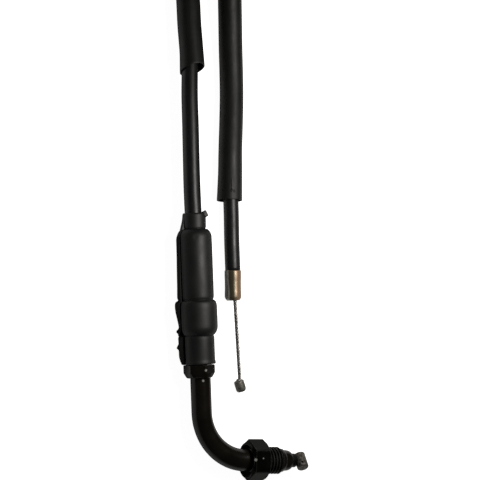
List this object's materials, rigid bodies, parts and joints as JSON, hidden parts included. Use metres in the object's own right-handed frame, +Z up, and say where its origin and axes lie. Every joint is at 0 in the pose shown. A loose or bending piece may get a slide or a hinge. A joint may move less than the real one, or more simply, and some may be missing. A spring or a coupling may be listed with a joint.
{
  "type": "motorcycle throttle cable",
  "caption": "Sheathed throttle cable with a bent screw-in throttle end, in-line adjuster under a slit rubber boot, and a bare carburettor end with ferrule and nipples.",
  "frame": {"origin": "on the surface that the cable lies on, under the centre of the throttle end (boot, bent pipe, nut and nipple)", "axes": "+Y along the adjuster from the bent pipe towards the cable, +X the way the bent pipe's outlet points, +Z up"},
  "size_m": [0.1016, 0.3236, 0.0172],
  "materials": {
    "boot_rubber": "matte moulded black rubber",
    "sleeve_vinyl": "satin black extruded vinyl",
    "jacket_vinyl": "semi-gloss black extruded vinyl",
    "black_paint": "gloss black paint on steel",
    "black_zinc": "black zinc plated steel",
    "yellow_brass": "dull turned brass",
    "bright_steel": "bright galvanised steel",
    "cast_zinc": "as-cast zinc",
    "liner_plastic": "natural white plastic tube",
    "tip_plastic": "black plastic",
    "tie_plastic": "black nylon"
  },
  "bodies": {
    "cable": {"conduit_jacket": "jacket_vinyl", "conduit_armour": "bright_steel", "conduit_liner": "liner_plastic", "core_wire": "bright_steel", "sleeve_throttle_run": "sleeve_vinyl", "sleeve_coil": "sleeve_vinyl", "sleeve_carb_run": "sleeve_vinyl", "coil_tie": "tie_plastic", "conduit_end_cap": "bright_steel", "carb_ferrule": "yellow_brass"},
    "boot": {"adjuster_boot": "boot_rubber"},
    "barrel": {"adjuster_barrel": "black_zinc"},
    "elbow": {"elbow_pipe": "black_paint", "adjuster_stud": "black_paint", "pipe_liner": "tip_plastic", "bend_wire": "bright_steel"},
    "lock_nut": {"lock_nut": "black_zinc"},
    "swivel_nut": {"swivel_nut": "black_zinc"},
    "throttle_wire": {"throttle_wire": "bright_steel", "throttle_nipple": "cast_zinc"},
    "carb_wire": {"carb_wire": "bright_steel", "carb_nipple": "cast_zinc"}
  },
  "joints": [
    {"name": "boot_slide", "type": "slide", "parent": "cable", "child": "boot", "axis": [0, 1, 0], "range_m": [0, 0.042]},
    {"name": "adjuster_turn", "type": "hinge", "parent": "cable", "child": "barrel", "pos_m": [-0.01774, 0.0168, 0.00742], "axis": [0, 1, 0], "range_deg": [0, 2161]},
    {"name": "adjuster_travel", "type": "slide", "parent": "cable", "child": "elbow", "axis": [0, -1, 0], "range_m": [0, 0.006]},
    {"name": "lock_nut_turn", "type": "hinge", "parent": "elbow", "child": "lock_nut", "pos_m": [-0.01774, 0.0145, 0.00742], "axis": [0, -1, 0], "range_deg": [0, 90]},
    {"name": "swivel_nut_turn", "type": "hinge", "parent": "elbow", "child": "swivel_nut", "pos_m": [-0.00016, -0.04254, 0.00742], "axis": [0.9972, -0.075, 0], "continuous": true},
    {"name": "throttle_wire_pull", "type": "slide", "parent": "elbow", "child": "throttle_wire", "axis": [0.9972, -0.075, 0], "range_m": [0, 0.026]},
    {"name": "carb_wire_slide", "type": "slide", "parent": "cable", "child": "carb_wire", "axis": [0.0279, -0.9996, 0], "range_m": [-0.0261, 0]}
  ],
  "couplings": [
    {"joint": "adjuster_turn", "follows": "adjuster_travel", "rad_per_m": 6283.2},
    {"joint": "carb_wire_slide", "follows": "throttle_wire_pull", "ratio": -1}
  ]
}
